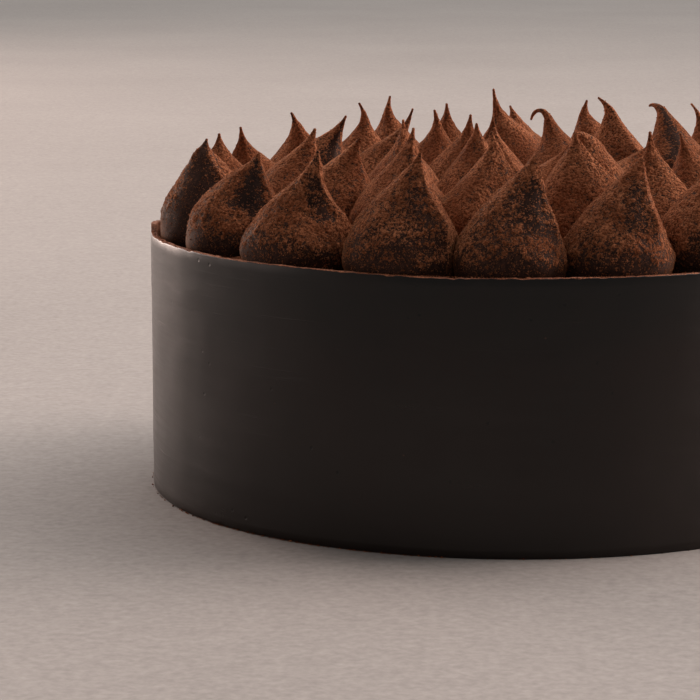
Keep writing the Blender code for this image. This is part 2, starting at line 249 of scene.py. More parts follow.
# ======== sums that the shapes share
def toward(bearing):
    """The level direction that has this bearing."""
    return np.array([math.cos(math.radians(bearing)), math.sin(math.radians(bearing)), 0.0])


def wrapped(angle):
    """The same angle, between half a turn back and half a turn on."""
    return (angle + np.pi) % (2 * np.pi) - np.pi


def smooth(low, high, value):
    """0 below low, 1 above high, and an even S between them."""
    share = np.clip((value - low) / (high - low), 0, 1)
    return share * share * (3 - 2 * share)


def bell(off, width):
    """1 where off is 0, and falling away evenly to both sides."""
    return np.exp(-((off / width) ** 2))


def reach_of(points):
    """How far the points are from the cake's middle line."""
    return np.hypot(points[..., 0], points[..., 1])


def turns_of(count):
    """Even turns round the compass, in radians."""
    return 2 * np.pi * np.arange(count) / count


def cake_top(spots):
    """Height of the cake's domed top at these spots."""
    return EDGE_HEIGHT + DOME * (1 - (spots[..., 0] ** 2 + spots[..., 1] ** 2) / CAKE_RADIUS**2)


# Numbers that scramble a corner of the noise's lattice into a number of its own
ALONG_X, ALONG_Y, ALONG_Z, BY_SEED = 73856093, 19349663, 83492791, 2654435
SCRAMBLE, SCRAMBLE_AGAIN = 1274126177, 2246822519
NOISE_SHIFT, NOISE_REACH = 31.7, 1.6


def hashed(cell, seed):
    """A fixed number from -1 to 1 for each corner of a lattice."""
    mixed = cell[..., 0] * ALONG_X ^ cell[..., 1] * ALONG_Y ^ cell[..., 2] * ALONG_Z ^ seed * BY_SEED
    mixed = (mixed ^ (mixed >> 13)) * SCRAMBLE & 0xFFFFFFFF
    mixed = (mixed ^ (mixed >> 15)) * SCRAMBLE_AGAIN & 0xFFFFFFFF
    return (mixed ^ (mixed >> 16)) / 0x7FFFFFFF - 1.0


def unevenness(points, depth, size, seed, octaves=1):
    """Smooth noise about this far to both sides of 0 at these points, with lumps of this size, in metres."""
    total, weight = 0.0, 1.0
    for octave in range(octaves):
        where = points / size * 2**octave + NOISE_SHIFT * (seed + octave)
        cell = np.floor(where).astype(np.int64)
        part = where - cell
        part = part**3 * (part * (part * 6 - 15) + 10)
        level = 0.0
        for corner in np.ndindex(2, 2, 2):
            share = np.prod(np.where(corner, part, 1 - part), axis=-1)
            level = level + share * hashed(cell + corner, seed + octave)
        total = total + weight * level * NOISE_REACH
        weight *= 0.5
    return depth * np.clip(total, -NOISE_REACH, NOISE_REACH)


# ======== piping
@dataclass
class Peak:
    """One piped peak: where its foot's middle is, and its shape."""

    name: str
    ring: str
    bearing: float
    length: float
    radius: float
    lean: float
    draw: float
    straight: float = 0
    turn: float = 0
    bow: float = 0

    @property
    def place(self):
        """The middle of its foot, seen from above."""
        return toward(self.bearing) * RINGS[self.ring]

    @property
    def leans_to(self):
        """The bearing that it leans toward, a quarter turn on from its own unless it says otherwise."""
        return self.bearing + 90 + self.turn

    @property
    def in_front(self):
        return self.name in FRONT_PEAKS


def all_peaks():
    """Every peak, each a little different from the next."""
    draw_lots = random.Random(PEAK_SEED)

    def about(usual, spread):
        return usual + spread * draw_lots.uniform(-1, 1)

    peaks = []
    for name, own in PEAKS.items():
        usual = {
            "length": about(PEAK_LENGTH, LENGTH_SPREAD),
            "radius": about(PEAK_RADIUS, RADIUS_SPREAD),
            "lean": about(PEAK_LEAN, LEAN_SPREAD),
            "draw": about(PEAK_DRAW, DRAW_SPREAD),
        }
        peaks.append(Peak(name, name.split("_")[0], **{**usual, **own}))
    return peaks


def flank(peak, share):
    """The peak's radius at these shares of its length: a round foot, a full bulge and a drawn-out tip."""
    foot = FOOT_WIDTH + (1 - FOOT_WIDTH) * np.sin(np.pi / 2 * np.minimum(share / BULGE_AT, 1))
    up = np.clip((share - BULGE_AT) / (1 - BULGE_AT), 0, 1)
    drawn_out = np.cos(np.pi / 2 * up) ** peak.draw
    narrowed = np.hypot(up, FLANK_ROUNDING) - FLANK_ROUNDING
    cone = 1 - narrowed / (math.hypot(1, FLANK_ROUNDING) - FLANK_ROUNDING)
    width = drawn_out + (cone - drawn_out) * peak.straight
    return peak.radius * np.where(share < BULGE_AT, foot, width * (1 - TIP_WIDTH) + TIP_WIDTH)


def axis_of(peak, shares):
    """The direction the peak leans in, and the points along its middle with their tilts, at these shares."""
    sideways = toward(peak.leans_to)
    steps = np.arange(AXIS_STEPS + 1) / AXIS_STEPS
    tilt = np.radians(peak.lean * smooth(LEAN_FROM, LEAN_TO, steps) + peak.bow * smooth(BOW_FROM, 1, steps))
    step = (np.outer(np.sin(tilt), sideways) + np.outer(np.cos(tilt), UP)) * peak.length / AXIS_STEPS
    foot = peak.place + UP * (cake_top(peak.place) + GAP)
    points = foot + np.vstack([np.zeros(3), np.cumsum(step[:-1], axis=0)])
    centre = np.stack([np.interp(shares, steps, along) for along in points.T], axis=-1)
    return sideways, centre, np.interp(shares, steps, tilt)


def ridge_of(peak):
    """The bearing of the line that the nozzle left up this peak, low and high, and how far it stands out."""
    usual = peak.leans_to + RIDGE_OFF_LEAN
    return RIDGES.get(peak.name, (usual, usual + RIDGE_SWING, RIDGE_USUAL))


def ridge_bearing(peak, share):
    """Where that line is at these shares of the peak's length, in radians."""
    low, high, _ = ridge_of(peak)
    return math.radians(low) + (math.radians(high) - math.radians(low)) * smooth(*RIDGE_SWINGS, share)


def ridge_swell(peak, shares, turns):
    """How much wider the peak is for its ridge and the ridge's thin crest, and narrower beside it."""
    off = wrapped(math.radians(peak.leans_to) - turns[None, :] - ridge_bearing(peak, shares)[:, None])
    fold = np.maximum(0, 1 - np.abs(off) / math.radians(RIDGE_WIDTH)) ** RIDGE_POWER
    crest = np.maximum(0, 1 - np.abs(off) / math.radians(CREST_WIDTH)) ** CREST_POWER
    hollow = bell(np.abs(off) - HOLLOW_OFF, HOLLOW_WIDTH)
    grown = smooth(*RIDGE_GROWS, shares)[:, None]
    return 1 + ridge_of(peak)[2] * grown * (fold + CREST_HEIGHT * crest - HOLLOW_DEPTH * hollow)


def piped_points(peak, peaks, sides, levels):
    """The peak's bare surface: its rings of points from foot to tip, pressed flat against its neighbours."""
    shares = (np.arange(levels) / (levels - 1)) ** LEVEL_SPACING * LAST_LEVEL
    sideways, centre, tilt = axis_of(peak, shares)
    radius = flank(peak, shares) * (1 - TIP_FINER * smooth(TIP_FINER_FROM, 1.0, shares))
    tilt = tilt * (1 - radius / peak.radius)
    forward = np.outer(np.cos(tilt), sideways) - np.outer(np.sin(tilt), UP)
    across = np.cross(sideways, UP)
    turns = turns_of(sides)
    outward = forward[:, None, :] * np.cos(turns)[:, None] + across * np.sin(turns)[:, None]
    swollen = radius[:, None] * ridge_swell(peak, shares, turns)
    points = centre[:, None, :] + outward * swollen[..., None]
    lumps = unevenness(points, *LUMPS) * np.sqrt(radius / peak.radius)[:, None]
    points = kept_to_its_place(points + outward * lumps[..., None], peak, peaks)
    points[0, :, 2] = cake_top(points[0]) - FOOT_SUNK
    return points


def kept_to_its_place(points, peak, peaks):
    """The points, set back softly where a neighbouring peak or the band is in the way."""
    for other in peaks:
        between = other.place - peak.place
        apart = np.linalg.norm(between)
        if other is peak or apart > NEIGHBOUR_REACH:
            continue
        between = between / apart
        past = ((points - peak.place) @ between - (apart - GAP) / 2) / CREASE
        points = points - between * (CREASE * np.logaddexp(0, past))[..., None]
    reach = reach_of(points)
    held = (HELD_RADIUS - PRESS * np.logaddexp(0, (HELD_RADIUS - reach) / PRESS)) / reach
    return points * np.stack([held, held, np.ones_like(held)], axis=-1)


def normals_of(points):
    """Outward normals of the rings of points."""
    along = np.gradient(points, axis=0)
    around = np.roll(points, -1, axis=1) - np.roll(points, 1, axis=1)
    normal = np.cross(along, around)
    normal /= np.maximum(np.linalg.norm(normal, axis=-1, keepdims=True), TINY)
    middle = points.mean(axis=1, keepdims=True)
    outward = np.sign(np.sum(normal * (points - middle), axis=-1).mean())
    return normal * outward


# ======== cocoa on the piping
def cocoa_cover(points, normals, peak):
    """How far the sifted cocoa covers each point in clumps, and in a thin film, about 0 to 1.

    It falls from above, and mostly on the middle of the cake.
    """
    share = np.linspace(0, 1, len(points))[:, None]
    around = points - points.mean(axis=1, keepdims=True)
    turn = np.arctan2(around[..., 1], around[..., 0])
    patches = unevenness(points, *PATCHES)
    even = sifted_cover(points, normals, peak, share, patches)
    off = np.degrees(wrapped(turn - ridge_bearing(peak, share)))
    even = cover_by_ridge(even, off, peak, share, patches)
    # partly cocoa, partly a painted rim light: more cover on the sides that face left
    left_cover_and_rim_light = smooth(*LEFT_COVER_SIDES, -normals[..., 0]) * smooth(*LEFT_COVER_FROM, share)
    even += (1 - even) * LEFT_COVER_AND_RIM_LIGHT * left_cover_and_rim_light
    clumps, film = even.copy(), np.maximum(even, LEAST_FILM)
    for bearing, width, low, high, missed, wiped in BARE_PATCHES.get(peak.name, ()):
        patch = bell(wrapped(turn - math.radians(bearing)), math.radians(width))
        patch *= smooth(low - BARE_PATCH_FADE, low, share) * (1 - smooth(high, high + BARE_PATCH_FADE, share))
        clumps *= 1 - missed * patch
        film *= 1 - wiped * patch
    return clumps, film


def sifted_cover(points, normals, peak, share, patches):
    """The cover where nothing but the fall of the cocoa decides it, thinner round the outer peaks' feet."""
    reach = reach_of(points)
    inward = -points * LEVEL / np.maximum(reach, TINY)[..., None]
    falls = inward * (FALLS_INWARD * smooth(INWARD_FROM, INWARD_TO, reach))[..., None] + FALLS
    at_tip = TIP_COVER * smooth(*TIP_COVERED, share)
    faces_it = np.sum(normals * falls, axis=-1)
    even = smooth(BARE, COVERED, faces_it + patches + at_tip + INNER_COVER[peak.ring])
    at_foot = 1 - smooth(*FOOT_ENDS, share + FOOT_RAGGED * patches)
    return even * (1 - FOOT_BARE * at_foot * (peak.ring == "outer"))


def cover_by_ridge(even, off, peak, share, patches):
    """The cover, thinner just left of the ridge, partly as painted shade, and thicker on it and on the facet
    to its right.
    """
    up_there = smooth(*RIDGE_GROWS, share)
    # partly bare ganache, partly painted shade: less cover on the face just left of the ridge
    bare_and_painted_shade = bell(off - SHADE_SIDE_OFF, SHADE_SIDE_WIDTH) * smooth(*SHADE_SIDE_STARTS, share) * smooth(*SHADE_SIDE_ENDS, share)
    strength = SHADE_SIDE_BARE * (1.0 if peak.ring == "outer" else SHADE_SIDE_INSIDE)
    even = even * (1 - strength * bare_and_painted_shade * (SHADE_SIDE_EVEN + SHADE_SIDE_RAGGED * patches))
    facet = smooth(*FACET_STARTS, off) * smooth(*FACET_ENDS, off) * up_there
    crest = bell(off, CREST_COVER_WIDTH) * up_there
    return even + (1 - even) * np.maximum(FACET_COVER * facet, CREST_COVER * crest)


def dusted(points, normals, cover, coarse):
    """The points, raised by the cocoa that lies on them in clumps, and how thickly it lies there."""
    clumps, specks = unevenness(points, *CLUMPS), unevenness(points, *SPECKS)
    thick = cover + (CLUMP_COVER * clumps + SPECK_COVER * specks) * smooth(*CLUMPS_START, cover)
    lumpy = CLUMP_HEIGHT * np.maximum(clumps, HOLLOW_CLUMPS) + SPECK_HEIGHT * specks
    raised = smooth(*THICK_ENOUGH, thick) * (CRUST + coarse * lumpy)
    return points + normals * raised[..., None], thick


def peak_piece(peak, peaks, finish):
    """One peak as a piece, and its surface for the loose grains to lie on."""
    sides, levels = FRONT_MESH if peak.in_front else NEAR_MESH if peak.name in NEAR_PEAKS else FAR_MESH
    bare = piped_points(peak, peaks, sides, levels)
    normals = normals_of(bare)
    cover, film = cocoa_cover(bare, normals, peak)
    points, thick = dusted(bare, normals, cover, 1.0 if peak.in_front else FAR_COARSENESS)
    slender = smooth(1.0, TIP_CRUST_FROM, np.linspace(0, 1, levels))[:, None, None]
    points = bare + (points - bare) * (TIP_CRUST + (1 - TIP_CRUST) * slender)
    _, tip, _ = axis_of(peak, np.array([1.0]))
    tip = kept_to_its_place(tip, peak, peaks)
    vertices = np.vstack([points.reshape(-1, 3), tip])
    covers = np.append(thick.ravel(), thick[-1].mean())
    films = np.append(film.ravel(), film[-1].mean())
    faces = ring_faces(levels, sides)
    piece = piece_of(f"piped_{peak.name}", vertices, faces, finish, cocoa=covers, film=films)
    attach(piece, "root")
    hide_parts(f"peak_{peak.name}")
    return points, normals, cover


# ======== meshes
def piece_of(name, vertices, faces, finish, **fields):
    """An object with this mesh and finish, with a number per vertex for each named field."""
    mesh = bpy.data.meshes.new(name)
    every_face = [face for group in faces for face in group.tolist()]
    mesh.from_pydata(vertices.tolist(), [], every_face)
    for field, numbers in fields.items():
        layer = mesh.attributes.new(field, "FLOAT", "POINT")
        layer.data.foreach_set("value", np.asarray(numbers, dtype=np.float32))
    mesh.shade_smooth()
    mesh.materials.append(finish)
    mesh.update()
    piece = bpy.data.objects.new(name, mesh)
    bpy.context.scene.collection.objects.link(piece)
    return piece


def ring_faces(levels, sides):
    """The faces of rings of points, with a last point as the tip."""
    lower = np.arange(levels - 1)[:, None] * sides
    side = np.arange(sides)[None, :]
    after = (side + 1) % sides
    quads = np.stack([lower + side, lower + sides + side, lower + sides + after, lower + after], axis=-1)
    top = (levels - 1) * sides
    tip = np.stack([top + after[0], top + side[0], np.full(sides, levels * sides)], axis=-1)
    return quads.reshape(-1, 4), tip


def turned_points(profile, segments):
    """Rings of points where the (radius, height) profile is turned about the middle."""
    turns = turns_of(segments)
    radius, height = np.array(profile).T[..., None]
    return np.stack([radius * np.cos(turns), radius * np.sin(turns), height + 0 * turns], axis=-1)


# ======== band and cake
def near_rim(height, start, whole):
    """0 further than start below the top of the rim, 1 nearer it than whole, and an S between them."""
    return smooth(BAND_HEIGHT - start, BAND_HEIGHT - whole, height)


def band_profile():
    """The band's cut: up its outside, over the rim and down its inside."""
    outside, inside = BAND_DIAMETER / 2, BAND_DIAMETER / 2 - BAND_WALL
    up_outside = [(outside, z) for z in np.linspace(BAND_EDGE, BAND_HEIGHT - BAND_EDGE, OUTSIDE_LEVELS)]
    rim = [(outside - OUTER_CORNER, BAND_HEIGHT - CORNER_DROP)]
    rim += [(outside - inward, BAND_HEIGHT) for inward in RIM_FLAT]
    rim += [(inside + INNER_CORNER, BAND_HEIGHT - CORNER_DROP)]
    down_inside = [(inside, z) for z in np.linspace(BAND_HEIGHT - INSIDE_EDGE, INSIDE_EDGE, INSIDE_LEVELS)]
    return [(outside - BAND_EDGE, 0.0), *up_outside, *rim, *down_inside, (inside + BAND_EDGE, 0.0)]


def poured(points):
    """The band's points, a little wavy, their rim uneven and nicked, with the strip's end standing up."""
    height = points[..., 2]
    on_rim = points * LEVEL
    radial = on_rim / reach_of(points)[..., None]
    waves = unevenness(points * WAVES_DRAWN_OUT, *WAVES) + unevenness(points, *RIPPLES)
    nicks = NICK_DEPTH * np.maximum(0, unevenness(on_rim, *NICKS) - NICKED_FROM)
    uneven = unevenness(on_rim, *SWAY) - nicks + unevenness(points, *RIM_BUMPS)
    bearing = np.degrees(np.arctan2(points[..., 1], points[..., 0])) % 360
    corner = smooth(STRIP_END - STRIP_END_GROWS, STRIP_END, bearing)
    corner *= smooth(STRIP_END + STRIP_END_STOPS, STRIP_END, bearing)
    corner *= near_rim(height, *STRIP_END_DEPTH)
    risen = near_rim(height, *RIM_UNEVEN) * uneven + STRIP_END_RISE * corner
    return points + radial * waves[..., None] + UP * risen[..., None]


def band_piece(finish):
    """The chocolate band, a little wavy, its rim nicked and dusted."""
    profile = band_profile()
    turned = turned_points(profile, BAND_SEGMENTS)
    points = poured(turned)
    height = turned[..., 2]
    on_top = near_rim(height, *RIM_DUSTED) * (RIM_COVER + unevenness(turned * LEVEL, *RIM_PATCHES))
    streaked = INSIDE_COVER + unevenness(points, *STREAKS)
    facing_in = reach_of(turned) < BAND_DIAMETER / 2 - INSIDE_STARTS * BAND_WALL
    inside = near_rim(height, *INSIDE_DUSTED) * facing_in * streaked
    cover = np.clip(np.maximum(on_top, inside), 0, 1)
    lower = np.arange(len(profile))[:, None] * BAND_SEGMENTS
    upper = np.roll(lower, -1, axis=0)
    side = np.arange(BAND_SEGMENTS)[None, :]
    after = (side + 1) % BAND_SEGMENTS
    quads = np.stack([lower + side, lower + after, upper + after, upper + side], axis=-1).reshape(-1, 4)
    piece = piece_of("poured_band", points.reshape(-1, 3), [quads], finish, cocoa=cover.ravel())
    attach(piece, "root")
    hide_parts("chocolate_band")


def cake_profile():
    """The cake's cut: up its side, round its shoulder and over its top to near the middle."""
    flat = CAKE_RADIUS - CAKE_SHOULDER
    edge_top = cake_top(np.array([flat, 0.0]))
    profile = [(CAKE_RADIUS, height) for height in CAKE_SIDE_HEIGHTS]
    for turn in np.linspace(0, np.pi / 2, SHOULDER_LEVELS):
        drop = CAKE_SHOULDER * (1 - math.sin(turn))
        profile.append((flat + CAKE_SHOULDER * math.cos(turn), edge_top - drop))
    for radius in np.linspace(flat - TOP_FROM, TOP_TO, TOP_LEVELS):
        profile.append((radius, cake_top(np.array([radius, 0.0]))))
    return profile


def cake_piece(finish):
    """The uncut cake inside the band, its dusted top showing between the peaks' feet."""
    points = turned_points(cake_profile(), CAKE_SEGMENTS)
    on_top = np.clip((points[..., 2] - EDGE_HEIGHT + ROUGH_FROM) / ROUGH_FROM, 0, 1)
    points[..., 2] += on_top * (unevenness(points, *CRUMBLY) - CRUMBLY_SUNK)
    ragged = 1 + unevenness(points * LEVEL, *DRIFT_RAGGED)
    for bearing, radius, rise, width in DRIFTS:
        off = reach_of(points - toward(bearing) * radius)
        points[..., 2] += rise * bell(off, width * ragged) * on_top
    cover = np.clip(TOP_COVER + unevenness(points, *TOP_PATCHES), 0, 1) * on_top
    levels, segments = points.shape[:2]
    quads, cap = ring_faces(levels, segments)
    under = np.arange(segments)[None, :]
    vertices = np.vstack([points.reshape(-1, 3), [[0, 0, cake_top(np.zeros(2))]]])
    covers = np.append(cover.ravel(), MIDDLE_COVER)
    piece = piece_of("dusted_cake", vertices, [quads[:, ::-1], cap[:, ::-1], under], finish, cocoa=covers)
    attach(piece, "root")
    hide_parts("cake")


# ======== loose grains
def unit(arrows):
    """The arrows, each one long."""
    return arrows / np.linalg.norm(arrows, axis=-1, keepdims=True)


def grain_sizes(lots, count, smallest, larger, low, high):
    """Sizes of which most are near the smallest."""
    return smallest + larger * lots.beta(low, high, count)


def grains_piece(name, spots, sizes, finish, lots):
    """Small crumbs of these sizes at these spots, each turned, squashed and toned its own way."""
    count = len(spots)
    tones = lots.uniform(0, 1, count)
    arrows = lots.normal(size=(count, 3, 3))
    first = unit(arrows[:, 0])
    second = unit(np.cross(first, arrows[:, 1]))
    basis = np.stack([first, second, np.cross(first, second)], axis=1)
    stretch = lots.uniform(*GRAIN_STRETCH, size=(count, 3, 1))
    corners = OCTAHEDRON[None] * lots.uniform(*GRAIN_CORNERS, size=(count, CORNERS, 1))
    shaped = np.einsum("nck,nkd->ncd", corners, basis * stretch) * (sizes / 2)[:, None, None]
    vertices = (spots[:, None, :] + shaped).reshape(-1, 3)
    faces = (OCTAHEDRON_FACES[None] + CORNERS * np.arange(count)[:, None, None]).reshape(-1, 3)
    piece = piece_of(name, vertices, [faces], finish, tone=np.repeat(tones, CORNERS))
    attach(piece, "root")


def grains_on_peaks(name, surfaces, count, finish, lots):
    """Loose grains of cocoa that cling to these peaks, most of them where the cocoa thins out."""
    every_point, every_normal, every_weight, every_width = [], [], [], []
    for points, normals, cover in surfaces:
        around = np.linalg.norm(np.roll(points, -1, axis=1) - points, axis=-1)
        along = np.linalg.norm(np.gradient(points, axis=0), axis=-1)
        crowding = GRAINS_ANYWHERE + cover * (GRAINS_ON_COCOA - GRAINS_SUNK_IN * cover)
        every_point.append(points.reshape(-1, 3))
        every_normal.append(normals.reshape(-1, 3))
        every_weight.append((around * along * crowding).ravel())
        every_width.append(np.maximum(around, along).ravel())
    weights = np.concatenate(every_weight)
    picks = lots.choice(len(weights), size=count, p=weights / weights.sum())
    normals = np.concatenate(every_normal)[picks]
    sizes = grain_sizes(lots, count, *PEAK_GRAIN_SIZES)
    jitter = lots.uniform(-0.5, 0.5, size=(count, 3)) * np.concatenate(every_width)[picks][:, None]
    jitter -= normals * np.sum(jitter * normals, axis=-1, keepdims=True)
    spots = np.concatenate(every_point)[picks] + jitter + normals * (sizes * GRAINS_SUNK)[:, None]
    spots[:, :2] *= np.minimum(1, GRAINS_HELD_RADIUS / reach_of(spots))[:, None]
    grains_piece(name, spots, sizes, finish, lots)


def rim_crumbs(finish, lots):
    """Cocoa crumbs along the band's rim."""
    turns = lots.uniform(0, 2 * np.pi, RIM_CRUMBS)
    radius = BAND_DIAMETER / 2 - lots.uniform(*RIM_CRUMBS_INWARD, RIM_CRUMBS)
    sizes = grain_sizes(lots, RIM_CRUMBS, *RIM_CRUMB_SIZES)
    height = BAND_HEIGHT + sizes * RIM_CRUMBS_UP
    spots = np.stack([radius * np.cos(turns), radius * np.sin(turns), height], axis=-1)
    grains_piece("crumbs_on_rim", spots, sizes, finish, lots)


def foot_crumbs(finish, lots):
    """Crumbs of cocoa and chocolate along the foot of the band."""
    at_left = lots.uniform(size=FOOT_CRUMBS) < LEFT_SHARE
    left = lots.uniform(*LEFT_BEARINGS, FOOT_CRUMBS)
    anywhere = lots.uniform(0, 360, FOOT_CRUMBS)
    turns = np.radians(np.where(at_left, left, anywhere))
    sizes = grain_sizes(lots, FOOT_CRUMBS, *FOOT_CRUMB_SIZES)
    strewn = FOOT_CRUMBS_SPREAD * lots.beta(1, 5, FOOT_CRUMBS)
    radius = BAND_DIAMETER / 2 + sizes * FOOT_CRUMBS_OUT + strewn
    spots = np.stack([radius * np.cos(turns), radius * np.sin(turns), sizes * FOOT_CRUMBS_UP], axis=-1)
    grains_piece("crumbs_at_foot", spots, sizes, finish, lots)


# ======== finishes
class Value:
    """A socket of a finish's nodes. Sums written on it add the nodes that work them out."""

    def __init__(self, finish, socket):
        self.finish = finish
        self.socket = socket

    def worked(self, operation, *terms):
        """This operation on these terms."""
        return self.finish.node("ShaderNodeMath", {"operation": operation}, dict(enumerate(terms)))[0]

    def __add__(self, other):
        return self.worked("ADD", self, other)

    def __sub__(self, other):
        return self.worked("SUBTRACT", self, other)

    def __rsub__(self, other):
        return self.worked("SUBTRACT", other, self)

    def __mul__(self, other):
        return self.worked("MULTIPLY", self, other)

    __radd__, __rmul__ = __add__, __mul__

    def clamped(self):
        """Kept between 0 and 1."""
        return self.finish.node("ShaderNodeClamp", {}, {"Value": self})[0]

    def between(self, low, high):
        """0 below low, 1 above high, and an even S between them."""
        settings = {"interpolation_type": "SMOOTHSTEP"}
        return self.finish.node("ShaderNodeMapRange", settings, {"Value": self, 1: low, 2: high})[0]


class Node:
    """A node; its outputs are taken by name or number."""

    def __init__(self, finish, node):
        self.finish = finish
        self.node = node

    def __getitem__(self, key):
        return Value(self.finish, self.node.outputs[key])


class Finish:
    """A material of nodes, ending in one Principled surface."""

    def __init__(self, name):
        self.material = bpy.data.materials.new(name)
        self.material.use_nodes = True
        self.tree = self.material.node_tree
        self.surface = self.tree.nodes["Principled BSDF"]

    def node(self, kind, settings, sockets):
        """A node of this kind, with its settings made first and then the values or links of its sockets."""
        node = self.tree.nodes.new(kind)
        for key, setting in settings.items():
            setattr(node, key, setting)
        for key, value in sockets.items():
            self.fill(node.inputs[key], value)
        return Node(self, node)

    def fill(self, socket, value):
        """Links the socket to a value that is worked out, or sets it to a plain one."""
        if isinstance(value, Value):
            self.tree.links.new(value.socket, socket)
        else:
            socket.default_value = value

    def made_of(self, **values):
        """Sets or links the surface's own sockets, written with _ for a space."""
        for name, value in values.items():
            self.fill(self.surface.inputs[name.replace("_", " ")], value)
        return self.material

    def place(self):
        return self.node("ShaderNodeTexCoord", {}, {})["Object"]

    def field(self, name):
        return self.node("ShaderNodeAttribute", {"attribute_name": name}, {})["Fac"]

    def noise(self, place, per_metre, detail=2.0, roughness=0.5, distortion=0.0):
        """Soft noise from 0 to 1, about this many lumps to the metre."""
        sockets = {"Vector": place, "Scale": per_metre, "Detail": detail}
        sockets |= {"Roughness": roughness, "Distortion": distortion}
        return self.node("ShaderNodeTexNoise", {}, sockets)["Fac"]

    def wobble(self, place, per_metre, detail=2.0, roughness=0.5):
        """The same noise, shifted to lie evenly to both sides of 0."""
        return self.noise(place, per_metre, detail, roughness) - 0.5

    def spots(self, place, per_metre, edge, middle):
        """Small round spots, 0 outside their edge and 1 in their middle, about this many to the metre."""
        distance = self.node("ShaderNodeTexVoronoi", {}, {"Vector": place, "Scale": per_metre})["Distance"]
        return distance.between(edge, middle)

    def stretched(self, place, x, y, z):
        return self.node("ShaderNodeMapping", {}, {"Vector": place, "Scale": (x, y, z)})[0]

    def blend(self, mask, first, second):
        """The first colour where the mask is 0 and the second where it is 1."""
        first = (*first, 1) if isinstance(first, tuple) else first
        second = (*second, 1) if isinstance(second, tuple) else second
        return self.node("ShaderNodeMix", {"data_type": "RGBA"}, {0: mask, 6: first, 7: second})[2]

    def bump(self, height, strength, distance):
        sockets = {"Height": height, "Strength": strength, "Distance": distance}
        return self.node("ShaderNodeBump", {}, sockets)[0]


# The darkest and palest cocoa are painted shade and painted highlight on the sifted cocoa, and the dark and
# pale tones of the loose grains
COCOA_DARK_TONE_AND_SHADE, COCOA, COCOA_PALE_TONE_AND_HIGHLIGHT = (0.100, 0.0265, 0.0092), (0.252, 0.0785, 0.0325), (0.470, 0.185, 0.0900)
GANACHE, COCOA_FILM, COCOA_SHEEN = (0.0125, 0.0060, 0.0048), (0.0720, 0.0310, 0.0200), (1.0, 0.42, 0.17)
CHOCOLATE, CHOCOLATE_WARM = (0.0030, 0.0022, 0.0018), (0.0092, 0.0042, 0.0030)
# CHOCOLATE_PAINTED_REFLECTION is a painted reflection of a pale surface below the band
CHOCOLATE_PAINTED_REFLECTION, CHOCOLATE_RUBBED = (0.0170, 0.0110, 0.0088), (0.017, 0.012, 0.010)
# painted shade inside the band's small pits
CHOCOLATE_PIT_SHADE = (0.0012, 0.0008, 0.0007)
CRUMB_DARK, CRUMB_PALE = (0.016, 0.008, 0.005), (0.04, 0.018, 0.010)
FLOOR_DARK, FLOOR_PALE = (0.240, 0.222, 0.212), (0.404, 0.374, 0.360)


def cocoa_colour(finish, place):
    """Sifted cocoa: painted shade in the hollows between its grains, and a painted highlight on its highest
    grains in broad drifts.
    """
    highlight_drifts = finish.noise(place, per_metre=95).between(0.30, 0.72)
    grains = finish.noise(place, per_metre=1600, roughness=0.65).between(0.34, 0.66)
    colour = finish.blend(grains, COCOA_DARK_TONE_AND_SHADE, COCOA)
    return finish.blend((highlight_drifts * grains * 0.75).clamped(), colour, COCOA_PALE_TONE_AND_HIGHLIGHT), grains


def dusted_ganache():
    """Dark satin ganache under sifted cocoa, which thins out into clumps and single grains."""
    finish = Finish("cocoa_dusted_ganache")
    place = finish.place()
    clumps = finish.noise(place, per_metre=950, roughness=0.6)
    specks = finish.wobble(place, per_metre=2100, roughness=0.6)
    powder = (finish.field("cocoa") + (clumps - 0.5) * 1.9 + specks * 2.8).between(0.44, 0.62)
    colour, grains = cocoa_colour(finish, place)
    speckle = finish.noise(place, per_metre=1500, roughness=0.6).between(0.36, 0.66) * 0.8 + 0.25
    blotches = finish.wobble(place, per_metre=260, detail=3, roughness=0.6)
    film = (finish.field("film") * speckle + blotches * 0.5).clamped()
    height = powder * 0.4 + powder * grains * 0.35 + powder * clumps * 0.6
    return finish.made_of(
        Base_Color=finish.blend(powder, finish.blend(film, GANACHE, COCOA_FILM), colour),
        Roughness=powder * 0.24 + 0.70,
        IOR=1.20,
        Sheen_Weight=0.34,
        Sheen_Roughness=0.32,
        Sheen_Tint=(*COCOA_SHEEN, 1),
        Normal=finish.bump(height, strength=1.0, distance=0.00060),
    )


